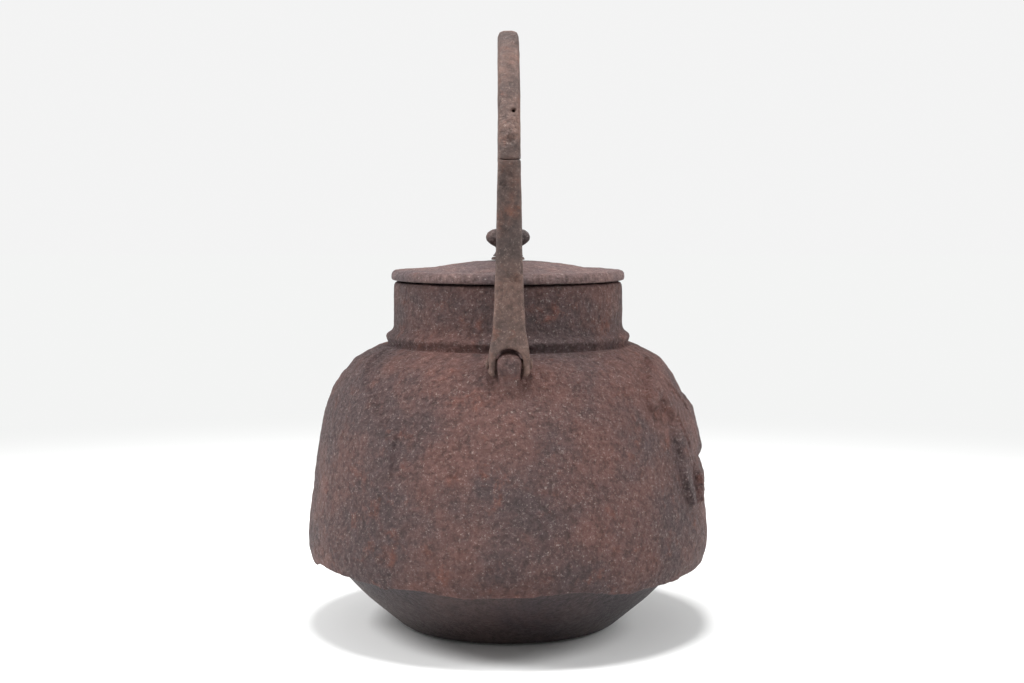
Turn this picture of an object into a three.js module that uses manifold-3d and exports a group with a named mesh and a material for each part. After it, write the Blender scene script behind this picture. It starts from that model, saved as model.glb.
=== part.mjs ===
// Cast iron kettle with a ragged skirt over a separate base pan, a pinned iron handle and a loose lid.
// Millimetres, +Z up. The origin is the centre of the flat underside; the spout points to +Y.
import * as THREE from "three";
import { mergeVertices } from "three/addons/utils/BufferGeometryUtils.js";
import Module from "manifold-3d";

const wasm = await Module();
wasm.setup();

// Clearances between pieces
const seatGap = 0.3;
const pinGap = 0.15;

// Kettle body: outer wall as radius over height, from the hem to the bead
const wall = 3.4;
const bellyRadius = 85.1;
const bellyHeight = 35.6;
const hemRadius = 80.8;
const waistRadius = 79.4;
const waistHeight = 79;
const crownRadius = 73.8;
const crownHeight = 99.2;
const shoulderRadius = 64.2;
const shoulderHeight = 114.3;
const bodySegments = 60;

// Ragged hem: mean height and the waves of its broken edge
const hemHeight = 27.4;
const hemWaves = [
  { count: 1, height: 1.6, phase: 2.6 },
  { count: 2, height: 1.7, phase: 0.4 },
  { count: 5, height: 0.9, phase: 1.9 },
  { count: 9, height: 0.7, phase: 0.7 },
  { count: 16, height: 0.5, phase: 2.2 },
];

// Neck, bead and mouth
const neckRadius = 48.4;
const neckWall = 4.2;
const neckTop = 146;
const beadRadius = 51.3;
const beadHeight = 122.6;
const beadThickness = 5;

// Base pan, seated inside the skirt
const panFlatRadius = 40;
const panBilgeRadius = 63.5;
const panBilgeHeight = 16.4;
const panWall = 2.8;
const panSeatHeight = 40;
const panRimHeight = 8;

// Spout: centre line from inside the wall to the lip
const spoutRootReach = 60;
const spoutRootHeight = 88;
const spoutKneeReach = 82;
const spoutKneeHeight = 103;
const spoutTipReach = 97;
const spoutTipHeight = 130;
const spoutRootRadius = 15;
const spoutTipRadius = 8.6;
const spoutRootBore = 9;
const spoutTipBore = 5.8;

// Pierced ears that carry the handle
const earReach = 66.6;
const pinHeight = 116.6;
const earWidth = 10;
const earFootWidth = 6.4;
const earHeadRadius = 5.4;
const earFootDrop = 12;
const pinRadius = 2;

// Handle: legs, forks and hollow grip
const forkWidth = 16.2;
const forkGap = 0.5;
const slotRise = 0.6;
const forkFoot = 4.6;
const forkHeight = 11;
const legWidth = 9.4;
const legDepth = 6;
const legTop = 195;
const legLean = 1.5;
const gripWidth = 8.6;
const gripDepth = 10.4;
const gripWall = 1.6;
const handleTop = 250.2;
const tangLength = 14;
const gripStations = 26;

// Lid, its flange and its vent
const lidOverhang = 1;
const lidRimThickness = 4.2;
const lidDomeRadius = 36;
const lidDomeHeight = 4;
const lidPlate = 3;
const flangeClearance = 0.8;
const flangeWall = 2.4;
const flangeDepth = 8;
const ventRadius = 1.6;
const ventReach = 24;

// Knob and its seat
const knobRadius = 9.9;
const knobNeckRadius = 4.9;
const knobHeight = 11.6;
const knobLobes = 6;
const knobLobeDepth = 0.07;
const shankRadius = 2.2;
const washerRadius = 7.2;
const washerThickness = 1.2;
const rivetRadius = 4.4;
const rivetThickness = 1.6;

const iron = new THREE.MeshStandardMaterial({ color: 0x5f4842, roughness: 0.8, metalness: 0.5 });
const panIron = new THREE.MeshStandardMaterial({ color: 0x3e3334, roughness: 0.6, metalness: 0.5 });
const forged = new THREE.MeshStandardMaterial({ color: 0x57483f, roughness: 0.7, metalness: 0.6 });

// Turns a closed three.js geometry into a solid for joins and cuts.
function solid(geometry) {
  const bare = geometry.clone();
  bare.deleteAttribute("normal");
  bare.deleteAttribute("uv");
  const merged = mergeVertices(bare, 1e-4);
  const made = new wasm.Manifold(
    new wasm.Mesh({
      numProp: 3,
      vertProperties: merged.attributes.position.array,
      triVerts: new Uint32Array(merged.index.array),
    }),
  );
  return made;
}

// Turns a solid back into a geometry.
function geometryOf(made) {
  const mesh = made.getMesh();
  const geometry = new THREE.BufferGeometry();
  geometry.setAttribute("position", new THREE.BufferAttribute(mesh.vertProperties, 3));
  geometry.setIndex(new THREE.BufferAttribute(mesh.triVerts, 1));
  geometry.computeVertexNormals();
  return geometry;
}

// Skins a list of rings. The rings are closed loops with equal point counts.
function loft(rings, closeRound = false) {
  const count = rings[0].length;
  const points = rings.flat().flatMap((p) => [p.x, p.y, p.z]);
  const faces = [];
  const spans = closeRound ? rings.length : rings.length - 1;
  for (let i = 0; i < spans; i++) {
    const next = (i + 1) % rings.length;
    for (let j = 0; j < count; j++) {
      const k = (j + 1) % count;
      faces.push(i * count + j, i * count + k, next * count + k);
      faces.push(i * count + j, next * count + k, next * count + j);
    }
  }
  if (!closeRound) {
    const last = (rings.length - 1) * count;
    for (let j = 1; j < count - 1; j++) {
      faces.push(0, j + 1, j);
      faces.push(last, last + j, last + j + 1);
    }
  }
  const geometry = new THREE.BufferGeometry();
  geometry.setAttribute("position", new THREE.Float32BufferAttribute(points, 3));
  geometry.setIndex(faces);
  const made = solid(geometry);
  if (made.volume() > 0) return made;
  const turned = geometry.clone();
  turned.setIndex(faces.toReversed());
  return solid(turned);
}

// Sweeps a closed profile of [radius, height] pairs round the axis; the profile may change with the angle.
function turned(profileAt, segments) {
  const rings = [];
  for (let i = 0; i < segments; i++) {
    const angle = (i / segments) * 2 * Math.PI;
    rings.push(
      profileAt(angle).map(
        ([r, z]) => new THREE.Vector3(r * Math.cos(angle), r * Math.sin(angle), z),
      ),
    );
  }
  return loft(rings, true);
}

// Lathes a profile that starts and ends on the axis.
function lathed(profile, segments) {
  const points = profile.map(([r, z]) => new THREE.Vector2(r, z));
  const geometry = new THREE.LatheGeometry(points, segments);
  geometry.rotateX(Math.PI / 2);
  const made = solid(geometry);
  if (made.volume() > 0) return made;
  return solid(new THREE.LatheGeometry(points.toReversed(), segments).rotateX(Math.PI / 2));
}

// A round bar along X through the point (0, y, z).
function crossBar(radius, length, y, z, segments = 24) {
  const geometry = new THREE.CylinderGeometry(radius, radius, length, segments);
  geometry.rotateZ(Math.PI / 2);
  geometry.translate(0, y, z);
  return solid(geometry);
}

// A flat outline in the plane of two axes, extruded evenly to both sides of zero along the third.
function slab(shape, thickness, plane) {
  const geometry = new THREE.ExtrudeGeometry(shape, {
    depth: thickness,
    bevelEnabled: false,
    curveSegments: 12,
  });
  geometry.translate(0, 0, -thickness / 2);
  if (plane === "yz") geometry.rotateX(Math.PI / 2).rotateZ(Math.PI / 2);
  if (plane === "xz") geometry.rotateX(Math.PI / 2);
  return solid(geometry);
}

const beadRest = beadHeight - beadThickness / 2;
const wallCurve = new THREE.SplineCurve([
  new THREE.Vector2(hemRadius, hemHeight - 4),
  new THREE.Vector2(bellyRadius, bellyHeight),
  new THREE.Vector2((bellyRadius + waistRadius) / 2 + 0.9, (bellyHeight + waistHeight) / 2),
  new THREE.Vector2(waistRadius, waistHeight),
  new THREE.Vector2(crownRadius, crownHeight),
  new THREE.Vector2(shoulderRadius, shoulderHeight),
  new THREE.Vector2(beadRadius + 1, beadRest),
]);
const wallPoints = wallCurve.getPoints(60);

// Outer radius of the body wall at a height.
function bodyRadius(z) {
  const i = wallPoints.findIndex((p) => p.y >= z);
  if (i < 0) return wallPoints.at(-1).x;
  if (i === 0) return wallPoints[0].x;
  const low = wallPoints[i - 1];
  const high = wallPoints[i];
  return low.x + ((high.x - low.x) * (z - low.y)) / (high.y - low.y);
}

// Height of the broken edge at an angle.
function hemAt(angle) {
  return hemWaves.reduce((z, w) => z + w.height * Math.sin(w.count * angle + w.phase), hemHeight);
}

const outerSteps = 14;
const innerSteps = 7;
const neckInner = neckRadius - neckWall;
const innerTop = shoulderHeight - 1;

// Closed wall section of the body at an angle, up the outside and down the inside.
function bodySection(angle) {
  const hem = hemAt(angle);
  const section = [];
  for (let i = 0; i <= outerSteps; i++) {
    const z = hem + ((beadRest - hem) * i) / outerSteps;
    section.push([bodyRadius(z), z]);
  }
  const beadHalf = beadThickness / 2;
  for (let i = 1; i <= 4; i++) {
    const turn = -Math.PI / 2 + (i / 4) * Math.PI;
    const reach = beadRadius - neckRadius;
    section.push([neckRadius + reach * Math.max(0.05, Math.cos(turn)), beadHeight + beadHalf * Math.sin(turn)]);
  }
  section.push([neckRadius, neckTop - 1]);
  section.push([neckRadius - 1, neckTop]);
  section.push([neckInner, neckTop]);
  section.push([neckInner, beadHeight - 2]);
  for (let i = 0; i <= innerSteps; i++) {
    const low = hem + 0.6;
    const z = innerTop + ((low - innerTop) * i) / innerSteps;
    section.push([bodyRadius(z) - wall, z]);
  }
  return section;
}

// The room inside the body, used to trim what is joined to the outside of the wall.
function bodyRoom() {
  const side = [];
  for (let i = 0; i <= 12; i++) {
    const z = bellyHeight + ((innerTop - bellyHeight) * i) / 12;
    side.push([bodyRadius(z) - wall, z]);
  }
  return lathed([[0, bellyHeight], ...side, [neckInner, beadHeight - 2], [0, beadHeight - 2]], bodySegments);
}

const spoutLine = new THREE.CatmullRomCurve3([
  new THREE.Vector3(0, spoutRootReach, spoutRootHeight),
  new THREE.Vector3(0, spoutKneeReach, spoutKneeHeight),
  new THREE.Vector3(0, spoutTipReach, spoutTipHeight),
]);

// A round tapered tube along the spout's centre line.
function spoutTube(rootRadius, tipRadius, overrun) {
  const rings = [];
  const stations = 10;
  for (let i = 0; i <= stations; i++) {
    const t = i / stations;
    const centre = spoutLine.getPoint(t);
    const along = spoutLine.getTangent(t);
    const side = new THREE.Vector3(1, 0, 0);
    const up = new THREE.Vector3().crossVectors(side, along);
    if (i === 0) centre.addScaledVector(along, -overrun);
    if (i === stations) centre.addScaledVector(along, overrun);
    const radius = rootRadius + (tipRadius - rootRadius) * Math.sqrt(t);
    const ring = [];
    for (let j = 0; j < 24; j++) {
      const turn = (j / 24) * 2 * Math.PI;
      ring.push(
        centre
          .clone()
          .addScaledVector(side, radius * Math.cos(turn))
          .addScaledVector(up, radius * Math.sin(turn)),
      );
    }
    rings.push(ring);
  }
  return loft(rings);
}

// One pierced ear on the shoulder; side is -1 for the rear one and 1 for the front one.
function ear(side) {
  const y = side * earReach;
  const face = new THREE.Shape();
  face.moveTo(-earFootWidth / 2, pinHeight - earFootDrop);
  face.lineTo(-earWidth / 2, pinHeight);
  face.absarc(0, pinHeight, earWidth / 2, Math.PI, 0, true);
  face.lineTo(earFootWidth / 2, pinHeight - earFootDrop);
  const cheek = new THREE.Shape();
  cheek.moveTo(y - earHeadRadius, pinHeight - earFootDrop);
  cheek.lineTo(y + earHeadRadius, pinHeight - earFootDrop);
  cheek.lineTo(y + earHeadRadius, pinHeight);
  cheek.absarc(y, pinHeight, earHeadRadius, 0, Math.PI, false);
  const front = slab(face, 4 * earReach, "xz");
  const flank = slab(cheek, 2 * earWidth, "yz");
  return front.intersect(flank);
}

const body = turned(bodySection, bodySegments)
  .add(spoutTube(spoutRootRadius, spoutTipRadius, 0).add(ear(-1)).add(ear(1)).subtract(bodyRoom()))
  .subtract(spoutTube(spoutRootBore, spoutTipBore, 4))
  .subtract(crossBar(pinRadius + pinGap, 2 * earWidth, -earReach, pinHeight))
  .subtract(crossBar(pinRadius + pinGap, 2 * earWidth, earReach, pinHeight));

// Base pan: flat underside, flared bilge and an upright rim inside the skirt
const panSeatTop = panSeatHeight + panRimHeight;
const panRimAt = (z) => bodyRadius(z) - wall - seatGap;
const panCurve = new THREE.SplineCurve([
  new THREE.Vector2(panFlatRadius + 6, 1.2),
  new THREE.Vector2((panFlatRadius + panBilgeRadius) / 2 + 2.5, panBilgeHeight / 2),
  new THREE.Vector2(panBilgeRadius, panBilgeHeight),
  new THREE.Vector2(panRimAt(bellyHeight) - 8, hemHeight),
  new THREE.Vector2(panRimAt(panSeatHeight) - 0.6, panSeatHeight - 4),
]);
const panOuter = panCurve.getPoints(7).map((p) => [p.x, p.y]);
const panInner = panCurve.getPoints(7).map((p) => [p.x - panWall, p.y + panWall * 0.7]);
const pan = lathed(
  [
    [0, 0],
    [panFlatRadius, 0],
    ...panOuter,
    [panRimAt(panSeatHeight) - 0.2, panSeatHeight],
    [panRimAt(panSeatTop), panSeatTop],
    [panRimAt(panSeatTop) - panWall, panSeatTop],
    [panRimAt(panSeatHeight) - panWall, panSeatHeight + 1],
    ...panInner.toReversed(),
    [panFlatRadius, panWall],
    [0, panWall],
  ],
  bodySegments,
);

// Handle centre line: leaning legs, then half an ellipse over the lid
const archReach = earReach + legLean;
const gripTopCentre = handleTop - gripDepth / 2;

// A point of the grip's centre line; turn runs from 0 at the rear joint to pi at the front joint.
function gripPoint(turn) {
  return new THREE.Vector3(
    0,
    -archReach * Math.cos(turn),
    legTop + (gripTopCentre - legTop) * Math.sin(turn),
  );
}

// A rounded rectangle ring, width along X and depth along the given direction.
function barRing(centre, deep, width, depth, corner) {
  const w = width / 2 - corner;
  const d = depth / 2 - corner;
  const ring = [];
  for (const [sx, sd, start] of [[1, 1, 0], [-1, 1, 1], [-1, -1, 2], [1, -1, 3]]) {
    for (let i = 0; i <= 2; i++) {
      const turn = ((start + i / 2) * Math.PI) / 2;
      ring.push(
        centre
          .clone()
          .add(new THREE.Vector3(sx * w + corner * Math.cos(turn), 0, 0))
          .addScaledVector(deep, sd * d + corner * Math.sin(turn)),
      );
    }
  }
  return ring;
}

// A bar along the grip's arch, swelling a little towards the top.
function gripBar(width, depth, corner, overrun) {
  const rings = [];
  for (let i = 0; i <= gripStations; i++) {
    const turn = (i / gripStations) * Math.PI;
    const centre = gripPoint(turn);
    const ahead = gripPoint(turn + 0.01).sub(gripPoint(turn - 0.01)).normalize();
    const deep = new THREE.Vector3(0, -ahead.z, ahead.y);
    if (i === 0) centre.addScaledVector(ahead, -overrun);
    if (i === gripStations) centre.addScaledVector(ahead, overrun);
    const swell = 0.8 + 0.2 * Math.sin(turn);
    rings.push(barRing(centre, deep, width, depth * swell, corner));
  }
  return loft(rings);
}

// Worm-eaten holes: turn along the arch, side offset, radius
const wormHoles = [
  { turn: 0.34, x: 1.6, out: 1, radius: 1.1 },
  { turn: 0.4, x: -1.5, out: 1, radius: 0.9 },
  { turn: 1.25, x: 1.4, out: 1, radius: 1 },
  { turn: 2.1, x: -1.6, out: 1, radius: 1.2 },
  { turn: 2.75, x: 1, out: 1, radius: 1 },
  { turn: 1.0, x: 0.6, out: -1, radius: 1.2 },
  { turn: 2.3, x: -0.8, out: -1, radius: 1.1 },
];
let grip = gripBar(gripWidth, gripDepth, 2.4, 0).subtract(
  gripBar(gripWidth - 2 * gripWall, gripDepth - 2.6 * gripWall, 1, 2),
);
for (const hole of wormHoles) {
  const centre = gripPoint(hole.turn);
  const ahead = gripPoint(hole.turn + 0.01).sub(centre).normalize();
  const out = new THREE.Vector3(0, -ahead.z, ahead.y).multiplyScalar(hole.out);
  centre.addScaledVector(out, gripDepth * 0.45);
  const drill = new THREE.CylinderGeometry(hole.radius, hole.radius * 0.8, 6, 8);
  drill.applyQuaternion(new THREE.Quaternion().setFromUnitVectors(new THREE.Vector3(0, 1, 0), out));
  drill.translate(hole.x + centre.x, centre.y, centre.z);
  grip = grip.subtract(solid(drill));
}

// The shoulder with a gap over it, which the fork's feet are filed to clear
const footGap = 0.6;
function shoulderClearance() {
  const side = [];
  for (let i = 0; i <= 8; i++) {
    const z = waistHeight + ((beadRest - waistHeight) * i) / 8;
    side.push([bodyRadius(z) + footGap, z + footGap]);
  }
  return lathed([[0, waistHeight], ...side, [neckRadius, beadHeight + beadThickness], [0, beadHeight]], bodySegments);
}

// One leg, modelled at the rear: tang, tapered bar and fork astride the ear
function legSolid() {
  const legStart = legTop - seatGap;
  const forkTop = pinHeight + forkHeight;
  const stations = [
    { z: pinHeight - forkFoot, width: forkWidth - 1.6, depth: 6 },
    { z: pinHeight - forkFoot + 1.4, width: forkWidth, depth: 7.6 },
    { z: pinHeight + 2, width: forkWidth, depth: 8 },
    { z: forkTop - 4, width: forkWidth - 1.2, depth: 7.4 },
    { z: forkTop + 2, width: legWidth + 3.4, depth: legDepth + 0.6 },
    { z: forkTop + 12, width: legWidth + 2, depth: legDepth },
    { z: (forkTop + legTop) / 2, width: legWidth + 0.7, depth: legDepth },
    { z: legStart - 14, width: legWidth - 0.1, depth: legDepth + 0.4 },
    { z: legStart, width: gripWidth, depth: gripDepth * 0.8 },
  ];
  const spread = (z) => -earReach - (legLean * (z - pinHeight)) / (legTop - pinHeight);
  const deep = new THREE.Vector3(0, 1, 0);
  const bar = loft(
    stations.map((s) => barRing(new THREE.Vector3(0, spread(s.z), s.z), deep, s.width, s.depth, 1.2)),
  );
  const tangWidth = gripWidth - 2 * gripWall - 2 * seatGap;
  const tang = loft(
    [-2, 0.5, tangLength * 0.6, tangLength].map((rise, i) => {
      const turn = Math.max(rise, 0) / (gripTopCentre - legTop);
      const centre = rise > 0 ? gripPoint(turn) : new THREE.Vector3(0, -archReach, legStart + rise);
      const slim = 1 - 0.12 * i;
      return barRing(centre, deep, tangWidth * slim, 2.6 * slim, 0.5);
    }),
  );
  const slotHalf = earWidth / 2 + forkGap;
  const arch = new THREE.Shape();
  arch.moveTo(-slotHalf, pinHeight - 2 * forkFoot);
  arch.lineTo(-slotHalf, pinHeight + slotRise);
  arch.absarc(0, pinHeight + slotRise, slotHalf, Math.PI, 0, true);
  arch.lineTo(slotHalf, pinHeight - 2 * forkFoot);
  return bar
    .add(tang)
    .subtract(slab(arch, 4 * earReach, "xz"))
    .subtract(shoulderClearance())
    .subtract(crossBar(pinRadius + pinGap, 2 * forkWidth, -earReach, pinHeight));
}

// Riveted cross pin, its heads just proud of the fork
function pinSolid(side) {
  const head = 0.7;
  const y = side * earReach;
  const shaft = crossBar(pinRadius, forkWidth + 2 * seatGap + head, y, pinHeight);
  const domes = [-1, 1].map((s) => {
    const cap = new THREE.CylinderGeometry(pinRadius * 0.9, pinRadius * 1.2, head, 20);
    cap.rotateZ((-s * Math.PI) / 2);
    cap.translate(s * (forkWidth / 2 + seatGap + head / 2), y, pinHeight);
    return solid(cap);
  });
  return shaft.add(domes[0]).add(domes[1]);
}

// Lid: overhanging rim, low dome, locating flange, hole for the knob's shank and a steam vent
const lidLow = neckTop + seatGap;
const lidRimTop = lidLow + lidRimThickness;
const lidDomeTop = lidRimTop + lidDomeHeight;
const lidRadius = neckRadius + lidOverhang;
const flangeRadius = neckInner - flangeClearance;
const shankHole = shankRadius + seatGap;
const domeFoot = lidRimTop + 0.2;
const domeAt = (share) => lidDomeTop - (lidDomeTop - domeFoot) * share ** 2.2;
const domeTopPoints = [0.25, 0.45, 0.65, 0.82, 1].map((s) => [lidDomeRadius * s, domeAt(s)]);
const domeLowPoints = [0.25, 0.55, 0.85].map((s) => [lidDomeRadius * s, domeAt(s) - lidPlate]);
const vent = new THREE.CylinderGeometry(ventRadius, ventRadius, 6 * lidPlate, 12);
vent.rotateX(Math.PI / 2);
vent.translate(0, ventReach, lidRimTop);
const lid = turned(
  () => [
    [shankHole, lidDomeTop],
    ...domeTopPoints,
    [lidDomeRadius + 2, lidRimTop],
    [lidRadius - 1, lidRimTop],
    [lidRadius, lidRimTop - 1],
    [lidRadius, lidLow + 0.4],
    [lidRadius - 0.4, lidLow],
    [flangeRadius, lidLow],
    [flangeRadius - 0.3, lidLow - flangeDepth],
    [flangeRadius - flangeWall, lidLow - flangeDepth],
    [flangeRadius - flangeWall - 0.4, lidRimTop - lidPlate],
    ...domeLowPoints.toReversed(),
    [shankHole, lidDomeTop - lidPlate],
  ],
  48,
).subtract(solid(vent));

// Washer under the knob, turned
const washerLow = lidDomeTop + seatGap;
const washerTop = washerLow + washerThickness;
const washer = turned(
  () => [
    [shankHole, washerLow],
    [washerRadius, washerLow],
    [washerRadius - 0.5, washerTop],
    [shankHole, washerTop],
  ],
  32,
);

// Knob: a lobed flower bud on a waisted stem, with its shank down to the rivet
const knobLow = washerTop + seatGap;
const shankFoot = lidDomeTop - lidPlate - seatGap - rivetThickness;
const knobStations = [
  { r: 6.6, z: 0, lobed: 0 },
  { r: 5.6, z: 1.1, lobed: 0 },
  { r: knobNeckRadius, z: 2.6, lobed: 0 },
  { r: 5.3, z: 3.9, lobed: 0 },
  { r: 7.6, z: 5.1, lobed: 0.6 },
  { r: 9.5, z: 6.6, lobed: 1 },
  { r: knobRadius, z: 8.2, lobed: 1 },
  { r: 9.2, z: 9.9, lobed: 1 },
  { r: 7.4, z: 11.1, lobed: 1 },
  { r: 5.2, z: knobHeight, lobed: 0.8 },
  { r: 3.6, z: 11, lobed: 0.4 },
  { r: 1.8, z: 10.6, lobed: 0 },
];
const knobSegments = 36;
const knobBud = loft(
  knobStations.map((s) =>
    Array.from({ length: knobSegments }, (_, j) => {
      const turn = (j / knobSegments) * 2 * Math.PI;
      const dip = 1 - knobLobeDepth * s.lobed * (1 - Math.abs(Math.sin((knobLobes * turn) / 2))) ** 2 * 2;
      return new THREE.Vector3(s.r * dip * Math.cos(turn), s.r * dip * Math.sin(turn), knobLow + s.z);
    }),
  ),
);
const knobShank = lathed(
  [
    [0, shankFoot],
    [shankRadius, shankFoot],
    [shankRadius, knobLow + 2],
    [0, knobLow + 2],
  ],
  24,
);
const knob = knobBud.add(knobShank);

// Peened plate that holds the shank from below; it turns with the knob
const rivetTop = lidDomeTop - lidPlate - seatGap;
const rivet = turned(
  () => [
    [shankRadius + pinGap, rivetTop],
    [shankRadius + pinGap, rivetTop - rivetThickness],
    [rivetRadius - 0.4, rivetTop - rivetThickness],
    [rivetRadius, rivetTop],
  ],
  24,
);

const kettle = new THREE.Group();

// Adds one named piece to the kettle, or to a group of it.
function piece(name, made, material, parent = kettle) {
  const mesh = new THREE.Mesh(geometryOf(made), material);
  mesh.name = name;
  parent.add(mesh);
  return mesh;
}

piece("kettle_body", body, iron);
piece("base_pan", pan, panIron);
piece("handle_leg_rear", legSolid(), forged);
const frontLeg = new THREE.Group();
frontLeg.rotation.z = Math.PI;
kettle.add(frontLeg);
piece("handle_leg_front", legSolid(), forged, frontLeg);
piece("handle_grip", grip, forged);
piece("pin_rear", pinSolid(-1), forged);
piece("pin_front", pinSolid(1), forged);
const lidGroup = new THREE.Group();
kettle.add(lidGroup);
piece("lid", lid, iron, lidGroup);
piece("knob_washer", washer, forged, lidGroup);
piece("lid_knob", knob, iron, lidGroup);
piece("knob_rivet", rivet, forged, lidGroup);

export default kettle;
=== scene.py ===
# %% [markdown]
# An old cast iron kettle, seen from behind its handle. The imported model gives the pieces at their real
# size. This lesson gives each piece the skin that rust, sand casting and forging leave on it.
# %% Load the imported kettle
import math

import bmesh
import bpy
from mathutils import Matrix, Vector, noise


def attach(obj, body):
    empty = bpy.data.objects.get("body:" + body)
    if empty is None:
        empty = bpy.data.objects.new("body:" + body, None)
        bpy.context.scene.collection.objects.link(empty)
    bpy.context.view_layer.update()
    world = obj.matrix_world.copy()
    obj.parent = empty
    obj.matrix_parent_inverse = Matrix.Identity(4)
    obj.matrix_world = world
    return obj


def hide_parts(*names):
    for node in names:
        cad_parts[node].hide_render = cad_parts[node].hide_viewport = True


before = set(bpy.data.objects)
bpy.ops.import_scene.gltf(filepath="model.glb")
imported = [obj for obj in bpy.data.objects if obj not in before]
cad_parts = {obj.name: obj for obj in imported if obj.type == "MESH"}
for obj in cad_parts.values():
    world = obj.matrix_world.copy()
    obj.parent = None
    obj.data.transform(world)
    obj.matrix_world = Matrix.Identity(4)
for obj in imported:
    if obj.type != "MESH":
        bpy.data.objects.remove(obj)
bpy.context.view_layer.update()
MM = 0.001
print("pieces:", sorted(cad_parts))

# %% [markdown]
# The photograph was taken from a little above the lid and in line with the handle, so the near leg
# hides the far one. A real camera is matched by its lens, its distance and its tilt. The lens follows
# from the picture's width in pixels and the focal length in the same pixels.
# %% Camera
PICTURE_WIDTH = 1024
FOCAL_PIXELS = 1650
SENSOR_MM = 36
CAMERA_REACH = 0.700
CAMERA_HEIGHT = 0.1751
CAMERA_TILT = 4.5
CAMERA_SIDE = 0.4
CAMERA_PAN = 0.14

camera_data = bpy.data.cameras.new("camera")
camera_data.sensor_width = SENSOR_MM
camera_data.lens = SENSOR_MM * FOCAL_PIXELS / PICTURE_WIDTH
camera = bpy.data.objects.new("camera", camera_data)
side = math.radians(CAMERA_SIDE)
camera.location = (-CAMERA_REACH * math.sin(side), -CAMERA_REACH * math.cos(side), CAMERA_HEIGHT)
camera.rotation_euler = (math.radians(90 - CAMERA_TILT), 0, -side - math.radians(CAMERA_PAN))
bpy.context.scene.collection.objects.link(camera)
bpy.context.scene.camera = camera
print("lens in mm:", round(camera_data.lens, 1))

# %% [markdown]
# Shader maths reads best as plain sums. This small class wraps a node's output, so that adding or
# multiplying two of them adds the Math node, and one method makes any other node.
# %% Shader sums
class Wire:
    def __init__(self, tree, socket):
        self.tree = tree
        self.socket = socket

    def node(self, kind, settings=None, out=0, **inputs):
        made = self.tree.nodes.new(kind)
        for name, value in (settings or {}).items():
            setattr(made, name, value)
        for name, value in inputs.items():
            key = int(name[1:]) if name[0] == "i" and name[1:].isdigit() else name.replace("_", " ")
            if isinstance(value, Wire):
                self.tree.links.new(value.socket, made.inputs[key])
            else:
                made.inputs[key].default_value = value
        return Wire(self.tree, made.outputs[out])

    def sum(self, operation, a, b):
        return self.node("ShaderNodeMath", {"operation": operation}, i0=a, i1=b)

    def __add__(self, other):
        return self.sum("ADD", self, other)

    __radd__ = __add__

    def __sub__(self, other):
        return self.sum("SUBTRACT", self, other)

    def __rsub__(self, other):
        return self.sum("SUBTRACT", other, self)

    def __mul__(self, other):
        return self.sum("MULTIPLY", self, other)

    __rmul__ = __mul__

    def clouds(self, scale, detail=4.0, rough=0.6):
        return self.node("ShaderNodeTexNoise", Vector=self, Scale=scale, Detail=detail, Roughness=rough)

    def band(self, low, high):
        return self.node("ShaderNodeMapRange", {"clamp": True, "interpolation_type": "SMOOTHSTEP"},
                         i0=self, i1=low, i2=high)

    def tint(self, base, colour):
        return self.node("ShaderNodeMix", {"data_type": "RGBA"}, out=2, i0=self, i6=base, i7=colour)


def linear(red, green, blue):
    """A colour as a screen shows it, from 0 to 255, turned into the linear light that Blender uses."""
    return tuple((c / 255 / 12.92) if c <= 10 else ((c / 255 + 0.055) / 1.055) ** 2.4
                 for c in (red, green, blue)) + (1.0,)


print("shader sums ready:", [n for n in ("clouds", "band", "tint") if hasattr(Wire, n)])

# %% [markdown]
# Rusty iron is never one colour. Broad clouds move from brown to a purple grey, smaller ones bring out
# orange rust, and tiny bright grains are painted glints of light mixed with skin rubbed to bare metal.
# The colours could be painted by hand, but noise over the piece's own place needs no picture and fits
# any part. The same noise drives roughness and bump, so that a dark pit is also a dull one.
# %% Iron finish
PIT_SHADE = 0.3
BUMP_DEPTH = 0.004
IRON_METAL = 0.25
IRON_IOR = 1.5
POLISH = 0.16


def iron_finish(name, brown, dark, rust, glint_and_rub_colour, rust_share=0.5, rub_and_glint=0.5, grain=1.0, rough=0.62):
    material = bpy.data.materials.new(name)
    material.use_nodes = True
    tree = material.node_tree
    tree.nodes.clear()
    place = Wire(tree, tree.nodes.new("ShaderNodeTexCoord").outputs["Object"])
    broad = place.clouds(26, 4, 0.6)
    middle = place.clouds(120, 6, 0.7)
    fine = place.clouds(560, 6, 0.75)
    sand = place.clouds(1500, 3, 0.7)
    colour = broad.band(0.36, 0.64).tint(linear(*brown), linear(*dark))
    rusty = (middle.band(0.5, 0.72) * rust_share + place.clouds(48, 4, 0.6).band(0.55, 0.75) * rust_share)
    colour = rusty.band(0.0, 1.0).tint(colour, linear(*rust))
    coarse = place.clouds(300, 5, 0.7)
    pit = 0.62 - (fine.band(0.34, 0.62) * 0.4 + coarse.band(0.34, 0.6) * 0.34)
    colour = pit.tint(colour, linear(*(PIT_SHADE * c for c in dark)))
    # Painted glints: bright grains in the base colour stand in for highlights, together with rubbed bare
    # metal.
    glint = (sand.band(0.52, 0.66) * fine.band(0.48, 0.62)) * rub_and_glint
    colour = glint.tint(colour, linear(*glint_and_rub_colour))
    height = coarse * 1.5 + fine * 0.7 + sand * 0.15 + middle * 0.9
    bump = place.node("ShaderNodeBump", Height=height, Strength=grain, Distance=BUMP_DEPTH)
    shader = tree.nodes.new("ShaderNodeBsdfPrincipled")
    shader.inputs["Metallic"].default_value = IRON_METAL
    shader.inputs["IOR"].default_value = IRON_IOR
    roughness = fine.band(0.3, 0.7) * -POLISH + (rough + 0.1)
    tree.links.new(colour.socket, shader.inputs["Base Color"])
    tree.links.new(roughness.socket, shader.inputs["Roughness"])
    tree.links.new(bump.socket, shader.inputs["Normal"])
    output = tree.nodes.new("ShaderNodeOutputMaterial")
    tree.links.new(shader.outputs[0], output.inputs[0])
    return material


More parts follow.
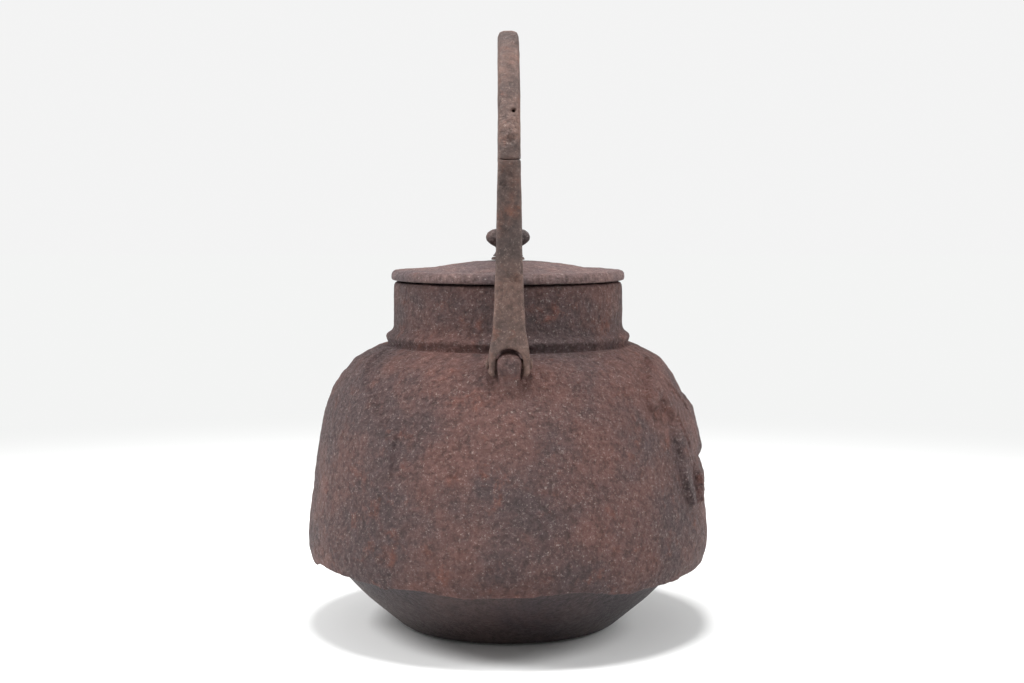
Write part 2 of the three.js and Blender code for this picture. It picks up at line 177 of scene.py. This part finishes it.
BODY_FINISH = iron_finish("rusty_casting", (124, 86, 79), (92, 72, 72), (136, 80, 64), (215, 198, 188))
PAN_FINISH = iron_finish("pan_casting", (72, 57, 56), (56, 46, 49), (84, 56, 50), (110, 100, 98),
                         rust_share=0.3, rub_and_glint=0.2, grain=0.3, rough=0.5)
LID_FINISH = iron_finish("lid_casting", (134, 106, 101), (102, 86, 88), (136, 88, 72), (205, 192, 186),
                         rust_share=0.35, rub_and_glint=0.6, grain=0.8)
KNOB_FINISH = iron_finish("knob_casting", (112, 92, 88), (82, 70, 70), (120, 80, 66), (200, 188, 180),
                          rust_share=0.35, rub_and_glint=0.7, grain=0.7)
FORGED_FINISH = iron_finish("forged_iron", (118, 90, 80), (82, 66, 62), (140, 80, 54), (190, 172, 160),
                            rust_share=0.4, rub_and_glint=0.35, grain=0.45, rough=0.5)
FINISHES = (BODY_FINISH, PAN_FINISH, LID_FINISH, KNOB_FINISH, FORGED_FINISH)
print("finishes:", [finish.name for finish in FINISHES])

# %% [markdown]
# A cast surface isn't smooth: sand leaves grains, and rust lifts scales. It could be sculpted by hand,
# but that would lose the CAD's sizes. Here each piece is a copy of its CAD solid, rebuilt as an even
# skin of small faces by a voxel remesh, smoothed a little to melt the facets, and then pushed in and
# out along its normals. Geometry carries the wider bumps and the finish carries the fine ones.
# %% Skin from a CAD node
WELD_REACH = 1e-6


def even_skin(node, voxel, smoothing):
    shape = bmesh.new()
    shape.from_mesh(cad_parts[node].data)
    bmesh.ops.remove_doubles(shape, verts=shape.verts, dist=WELD_REACH)
    mesh = bpy.data.meshes.new(node + "_skin")
    shape.to_mesh(mesh)
    shape.free()
    thing = bpy.data.objects.new(node + "_skin", mesh)
    bpy.context.scene.collection.objects.link(thing)
    remesh = thing.modifiers.new("even", "REMESH")
    remesh.mode = "VOXEL"
    remesh.voxel_size = voxel
    remesh.adaptivity = 0
    melt = thing.modifiers.new("melt", "SMOOTH")
    melt.factor = 0.5
    melt.iterations = smoothing
    graph = bpy.context.evaluated_depsgraph_get()
    even = bpy.data.meshes.new_from_object(thing.evaluated_get(graph))
    thing.modifiers.clear()
    thing.data = even
    return thing


def push(thing, lift):
    """Moves each vertex along its normal by lift(point, normal) metres."""
    mesh = thing.data
    moves = [v.co + v.normal * lift(v.co, v.normal) for v in mesh.vertices]
    for vertex, place in zip(mesh.vertices, moves):
        vertex.co = place
    mesh.shade_smooth()
    mesh.update()


def grains(point, size, octaves=3):
    """Noise near -1 to 1 whose lumps are about size metres wide."""
    return noise.fractal(point / size, 1.0, 2.0, octaves)


def finish_piece(thing, node, body, finish):
    thing.data.materials.clear()
    thing.data.materials.append(finish)
    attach(thing, body)
    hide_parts(node)
    print(node, "faces:", len(thing.data.polygons))


# %% [markdown]
# The horse on the kettle's right side is carved in the mould as a low swelling. It could be modelled
# as a mesh of its own, but then it would sit on the body instead of growing out of it. A drawing of a
# few fat strokes is enough: each stroke runs between two points and has a width at both ends, and it
# rises from a steep foot to a flat top. The left side has a mountain, whose ridge is two slopes with
# a small wave on them. Points are millimetres around the body and millimetres up.
# %% Relief strokes
HORSE = [
    ((-54, 99, 3.4), (-46, 106, 5.0)),
    ((-46, 106, 5.0), (-40, 108, 4.6)),
    ((-42, 109, 1.6), (-40, 114, 0.8)),
    ((-42, 105, 6.2), (-31, 90, 11.0)),
    ((-31, 86, 13.0), (-4, 84, 11.0)),
    ((-4, 84, 11.0), (18, 87, 13.0)),
    ((-36, 78, 6.0), (-40, 68, 3.2)),
    ((-40, 68, 3.2), (-37, 58, 2.4)),
    ((-30, 76, 6.0), (-22, 67, 3.2)),
    ((-22, 67, 3.2), (-27, 58, 2.4)),
    ((20, 78, 8.0), (28, 68, 3.6)),
    ((28, 68, 3.6), (25, 57, 2.4)),
    ((12, 78, 6.0), (15, 67, 3.4)),
    ((15, 67, 3.4), (9, 58, 2.4)),
    ((29, 92, 3.4), (38, 84, 3.0)),
    ((38, 84, 3.0), (42, 72, 1.8)),
]
HORSE_LINES = [
    ((-52, 98.5, 0.5), (-49, 99.5, 0.5)),
    ((-49, 103, 0.8), (-48.4, 103.2, 0.8)),
    ((-38, 106, 0.7), (-26, 94, 0.9)),
    ((-40, 92, 0.7), (-34, 79, 0.8)),
]
HORSE_LIFT = 2.4
HORSE_REACH_DEGREES = 75
LINE_DEPTH = 1.1
RELIEF_RADIUS = 78
RELIEF_BOTTOM = 48
RELIEF_TOP = 121
MOUNTAIN_LIFT = 1.2
MOUNTAIN_REACH = 75
PEAK_PLACE = -34
PEAK_HEIGHT = 119
NEAR_SLOPE = 0.74
FAR_SLOPE = 0.5
RIDGE_EDGE = 1.4
FOOT_HEIGHT = 60
FOOT_FADE = 30
STEEPNESS = 1.5


def stroke_share(across, up, stroke):
    """1 on a stroke's middle line, 0 at its edge and beyond."""
    (x0, z0, w0), (x1, z1, w1) = stroke
    dx, dz = x1 - x0, z1 - z0
    t = ((across - x0) * dx + (up - z0) * dz) / (dx * dx + dz * dz)
    t = min(1.0, max(0.0, t))
    away = math.hypot(across - x0 - t * dx, up - z0 - t * dz) / (w0 + (w1 - w0) * t)
    return math.sqrt(max(0.0, 1 - away * away))


def steep(share):
    """Turns a round swelling into one with a steep foot and a flat top."""
    return min(1.0, share * STEEPNESS)


def relief(point):
    """Height of the relief in millimetres at a point of the body."""
    x, y, z = point.x / MM, point.y / MM, point.z / MM
    if not RELIEF_BOTTOM < z < RELIEF_TOP:
        return 0.0
    round_side = math.degrees(math.atan2(y, x))
    if abs(round_side) < HORSE_REACH_DEGREES:
        across = math.radians(round_side) * RELIEF_RADIUS
        lift = steep(max(stroke_share(across, z, s) for s in HORSE)) * HORSE_LIFT
        cut = max(stroke_share(across, z, s) for s in HORSE_LINES) * LINE_DEPTH
        return lift - cut
    along = math.radians(180 - abs(round_side)) * RELIEF_RADIUS * (1 if y > 0 else -1)
    if abs(along) > MOUNTAIN_REACH:
        return 0.0
    fall = NEAR_SLOPE if along < PEAK_PLACE else FAR_SLOPE
    ridge = PEAK_HEIGHT - fall * abs(along - PEAK_PLACE)
    ridge = ridge + 0.8 * math.sin(along * 0.31) + 0.5 * math.sin(along * 0.83)
    edge = min(1.0, max(0.0, (ridge - z) / RIDGE_EDGE))
    foot = min(1.0, max(0.0, (z - FOOT_HEIGHT) / FOOT_FADE))
    return MOUNTAIN_LIFT * edge * foot


print("relief strokes:", len(HORSE), "and cut lines:", len(HORSE_LINES))

# %% [markdown]
# The body is the old casting that holds the water. Its skin is coarse on the belly and finer on the
# neck, so the same noise is used at two strengths. Only faces that look outward or upward move, so
# the inner walls stay as they were packed. The roll at the foot of the neck and the groove under it
# are sharpened first.
# %% Kettle body
BODY_VOXEL = 0.0011
BEAD_HEIGHT = 122.9
BEAD_SPREAD = 1.3
BEAD_RISE = 0.7
GROOVE_HEIGHT = 120.4
GROOVE_SPREAD = 0.75
GROOVE_DEPTH = 1.5
BEAD_INSIDE = 0.047
BEAD_OUTSIDE = 0.057
BELLY_TOP = 0.119
NECK_SHARE = 0.4
CARVED_FROM = 0.055
CARVED_TO = 0.088
SKIN_DROP = 0.1
OTHER_CLOUD = Vector((7, 3, 1))
body = even_skin("kettle_body", BODY_VOXEL, 6)


def body_lift(point, normal):
    radius = math.hypot(point.x, point.y)
    outside = normal.x * point.x + normal.y * point.y > 0.2 * radius or normal.z > 0.3
    if not outside:
        return 0.0
    belly = 1.0 if point.z < BELLY_TOP else NECK_SHARE
    skin = 0.26 * grains(point, 0.0046) + 0.24 * grains(point + OTHER_CLOUD, 0.016, 2)
    crumpled = 0.12 * noise.hetero_terrain(point / 0.0034, 0.8, 2.0, 3, 0.2)
    carved = relief(point) if CARVED_FROM < radius < CARVED_TO else 0.0
    return (belly * (skin + crumpled - SKIN_DROP) + carved) * MM


def bead_line(point, normal):
    """Sharpens the roll at the foot of the neck and the dark groove under it."""
    height = point.z / MM
    roll = BEAD_RISE * math.exp(-((height - BEAD_HEIGHT) / BEAD_SPREAD) ** 2)
    groove = GROOVE_DEPTH * math.exp(-((height - GROOVE_HEIGHT) / GROOVE_SPREAD) ** 2)
    outside = normal.x * point.x + normal.y * point.y > 0
    on_bead = BEAD_INSIDE < math.hypot(point.x, point.y) < BEAD_OUTSIDE
    return (roll - groove) * MM if outside and on_bead else 0.0


push(body, bead_line)
push(body, body_lift)
finish_piece(body, "kettle_body", "vessel", BODY_FINISH)

# %% [markdown]
# The base pan is the separate bottom that carries the old skirt, a smoother casting whose skin barely
# moves. The flat that it stands on isn't moved at all, so that it still meets the table.
# %% Base pan
PAN_FLAT_TOP = 0.002
pan = even_skin("base_pan", 0.0014, 8)
push(pan, lambda p, n: 0.05 * MM * grains(p, 0.006) if p.z > PAN_FLAT_TOP else 0.0)
finish_piece(pan, "base_pan", "vessel", PAN_FINISH)

# %% [markdown]
# The lid is cast thin and lies loose on the mouth. Lumps of about 13 mm and of about 4 mm break the
# smooth line of its top. The underside stays as it was packed, because it has to seat on the neck.
# %% Lid
LID_SEAT = 0.1468
lid = even_skin("lid", 0.0009, 5)


def lid_lift(point, normal):
    if point.z < LID_SEAT:
        return 0.0
    return (0.16 * grains(point, 0.0042) + 0.12 * grains(point, 0.013, 2)) * MM


push(lid, lid_lift)
finish_piece(lid, "lid", "lid", LID_FINISH)

# %% [markdown]
# The knob is a flower bud that lifts the lid. Its lobes come from the CAD solid, and the casting grain
# goes on top as a light push.
# %% Knob
knob = even_skin("lid_knob", 0.00035, 4)
push(knob, lambda p, n: 0.09 * MM * grains(p, 0.0022))
finish_piece(knob, "lid_knob", "knob", KNOB_FINISH)

# %% [markdown]
# The handle's legs, its grip and the pins are forged. They keep hammer marks and have pits where scale
# fell off, most of them near the joints between grip and legs. Pits are found with a cell noise: each
# cell draws a number, and only a cell whose number is over a limit becomes a pit.
# %% Forged pieces
PIT_SIZE = 0.0052
PIT_DEPTH = 0.75
PIT_REACH = 0.42
PIT_LIMIT = 0.8
JOINT_PIT_LIMIT = 0.35
JOINT_BOTTOM = 0.185
JOINT_TOP = 0.225


def forged_lift(point, normal):
    hammer = 0.14 * grains(point, 0.011, 2) + 0.05 * grains(point, 0.003)
    distances, cells = noise.voronoi(point / PIT_SIZE)
    chosen = noise.cell(cells[0] * 13.7)
    limit = JOINT_PIT_LIMIT if JOINT_BOTTOM < point.z < JOINT_TOP else PIT_LIMIT
    pit = 0.0
    if chosen > limit:
        pit = PIT_DEPTH * max(0.0, 1 - distances[0] / PIT_REACH) ** 0.7
    return (hammer - pit) * MM


for node, voxel in (("handle_grip", 0.0006), ("handle_leg_rear", 0.0005), ("handle_leg_front", 0.0005)):
    bar = even_skin(node, voxel, 3)
    push(bar, forged_lift)
    finish_piece(bar, node, "vessel", FORGED_FINISH)
for node, ride_on in (("pin_rear", "vessel"), ("pin_front", "vessel"), ("knob_washer", "lid"),
                      ("knob_rivet", "knob")):
    small = even_skin(node, 0.00025, 2)
    push(small, lambda p, n: 0.03 * MM * grains(p, 0.0012))
    finish_piece(small, node, ride_on, FORGED_FINISH)

# %% [markdown]
# The studio is a flat pale floor under a pale world. The floor takes the kettle's soft shadow. Farther
# off, the camera sees the floor glow in the backdrop's colour, which softens its edge against the
# world. The world looks brighter to the camera than the light that it throws on the kettle.
# %% Studio
BACKDROP = (0.9, 0.905, 0.9, 1)
FLOOR_PAINT = (0.9, 0.905, 0.9, 1)
FLOOR_ROUGHNESS = 0.9
FLOOR_HALF = 6
GLOW_FROM = 0.22
GLOW_TO = 0.75
WORLD_LIGHT = 0.42
SEEN_LIGHT = 0.9
AIM = (0, 0, 0.1)


def floor_finish():
    material = bpy.data.materials.new("white_sweep")
    material.use_nodes = True
    tree = material.node_tree
    shader = tree.nodes["Principled BSDF"]
    shader.inputs["Base Color"].default_value = FLOOR_PAINT
    shader.inputs["Roughness"].default_value = FLOOR_ROUGHNESS
    place = Wire(tree, tree.nodes.new("ShaderNodeTexCoord").outputs["Object"])
    away = place.node("ShaderNodeVectorMath", {"operation": "LENGTH"}, out=1, i0=place)
    seen = Wire(tree, tree.nodes.new("ShaderNodeLightPath").outputs["Is Camera Ray"])
    far = away.band(GLOW_FROM, GLOW_TO) * seen
    glow = tree.nodes.new("ShaderNodeEmission")
    glow.inputs["Color"].default_value = BACKDROP
    blend = tree.nodes.new("ShaderNodeMixShader")
    tree.links.new(far.socket, blend.inputs["Fac"])
    tree.links.new(shader.outputs[0], blend.inputs[1])
    tree.links.new(glow.outputs[0], blend.inputs[2])
    tree.links.new(blend.outputs[0], tree.nodes["Material Output"].inputs[0])
    return material


shape = bmesh.new()
bmesh.ops.create_grid(shape, x_segments=1, y_segments=1, size=FLOOR_HALF)
floor_mesh = bpy.data.meshes.new("floor")
shape.to_mesh(floor_mesh)
shape.free()
floor = bpy.data.objects.new("floor", floor_mesh)
floor_mesh.materials.append(floor_finish())
bpy.context.scene.collection.objects.link(floor)

world = bpy.data.worlds.new("studio")
bpy.context.scene.world = world
world.use_nodes = True
sky = world.node_tree
background = sky.nodes["Background"]
background.inputs["Color"].default_value = (1, 1, 1, 1)
path = sky.nodes.new("ShaderNodeLightPath")
seen = Wire(sky, path.outputs["Is Camera Ray"])
level = seen * (SEEN_LIGHT - WORLD_LIGHT) + WORLD_LIGHT
sky.links.new(level.socket, background.inputs["Strength"])


def lamp(name, place, target, size, power):
    data = bpy.data.lights.new(name, "AREA")
    data.shape = "DISK"
    data.size = size
    data.energy = power
    thing = bpy.data.objects.new(name, data)
    thing.location = place
    thing.rotation_euler = (Vector(target) - Vector(place)).to_track_quat("-Z", "Y").to_euler()
    bpy.context.scene.collection.objects.link(thing)


lamp("key_left", (-0.9, -0.1, 0.8), AIM, 0.4, 11)
lamp("top", (0.0, -0.1, 1.2), AIM, 0.35, 13)
lamp("fill_right", (0.95, -0.1, 0.7), AIM, 0.4, 7)

bpy.context.scene.view_settings.view_transform = "Standard"
print("lamps:", [light.name for light in bpy.data.lights])
